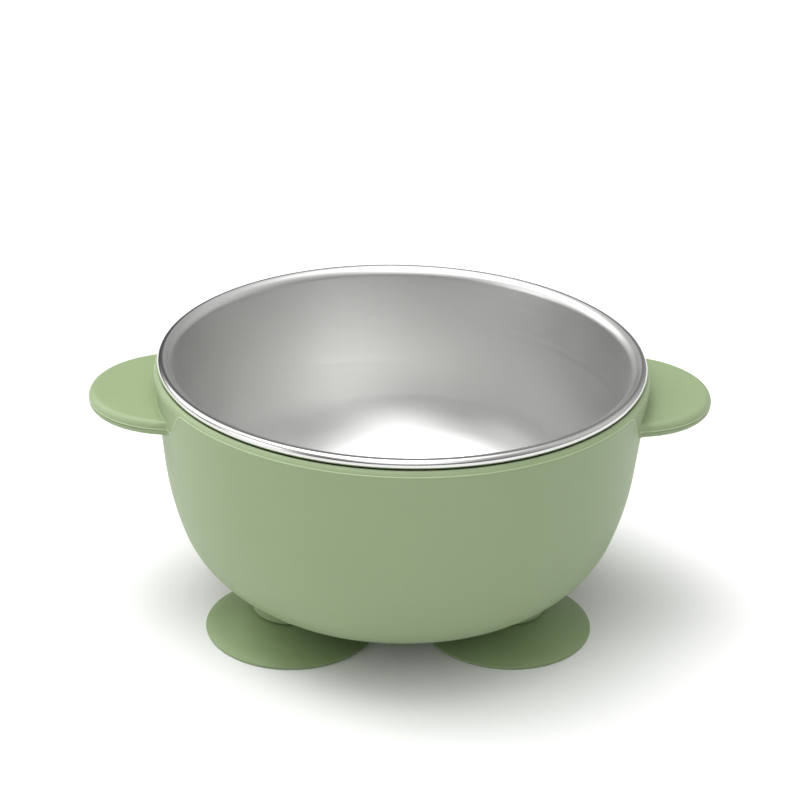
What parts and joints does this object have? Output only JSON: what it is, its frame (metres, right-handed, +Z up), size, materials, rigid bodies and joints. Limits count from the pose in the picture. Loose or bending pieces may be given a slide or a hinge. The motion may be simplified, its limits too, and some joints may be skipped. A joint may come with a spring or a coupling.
{
  "type": "suction bowl",
  "caption": "Round feeding bowl: a steel liner with a rolled rim lifts out of an eared plastic shell that stands on soft plug-in suction cups.",
  "frame": {"origin": "on the bowl's vertical axis, at table level, where the suction cups' lips rest", "axes": "+Z up along the bowl's axis, +X towards the right ear, -Y towards the front"},
  "size_m": [0.167, 0.132, 0.0741],
  "materials": {
    "liner_steel": "satin inside, polished rim",
    "shell_plastic": "fine matte",
    "cup_rubber": "smooth satin"
  },
  "bodies": {
    "shell": {"outer_shell": "shell_plastic"},
    "liner": {"inner_bowl": "liner_steel"},
    "cup_left": {"suction_cup_left": "cup_rubber"},
    "cup_right": {"suction_cup_right": "cup_rubber"},
    "cup_rear": {"suction_cup_rear": "cup_rubber"}
  },
  "joints": [
    {"name": "liner_lift", "type": "slide", "parent": "shell", "child": "liner", "axis": [0, 0, 1], "range_m": [0, 0.085]},
    {"name": "cup_left_pull", "type": "slide", "parent": "shell", "child": "cup_left", "axis": [0, 0, -1], "range_m": [0, 0.012]},
    {"name": "cup_right_pull", "type": "slide", "parent": "shell", "child": "cup_right", "axis": [0, 0, -1], "range_m": [0, 0.012]},
    {"name": "cup_rear_pull", "type": "slide", "parent": "shell", "child": "cup_rear", "axis": [0, 0, -1], "range_m": [0, 0.012]}
  ]
}
